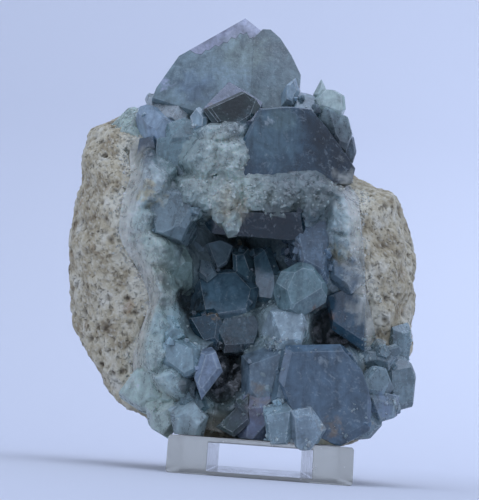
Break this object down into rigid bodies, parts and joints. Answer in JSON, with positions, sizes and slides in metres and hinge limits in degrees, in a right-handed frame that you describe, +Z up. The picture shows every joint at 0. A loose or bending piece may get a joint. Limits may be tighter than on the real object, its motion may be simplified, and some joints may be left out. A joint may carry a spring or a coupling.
{
  "type": "celestite crystal cluster",
  "caption": "Broken geode piece lined and crowned with pale blue celestite crystals in tan rock, resting on a clear block.",
  "frame": {"origin": "under the middle of the whole object, on the surface that the stand rests on", "axes": "+Z up; the open, crystal-lined front faces -Y; +X to the right as seen from the front"},
  "size_m": [0.173, 0.1038, 0.2336],
  "materials": {
    "rock": "rough, pitted, grainy",
    "celestite": "clear to milky crystal faces",
    "celestite_crust": "clear to frosted crystal faces",
    "clear_acrylic": "polished, slightly grey"
  },
  "bodies": {
    "root": {"matrix": "rock", "crown_crystals": "celestite", "hollow_crust": "celestite_crust", "stand": "clear_acrylic"}
  },
  "joints": []
}
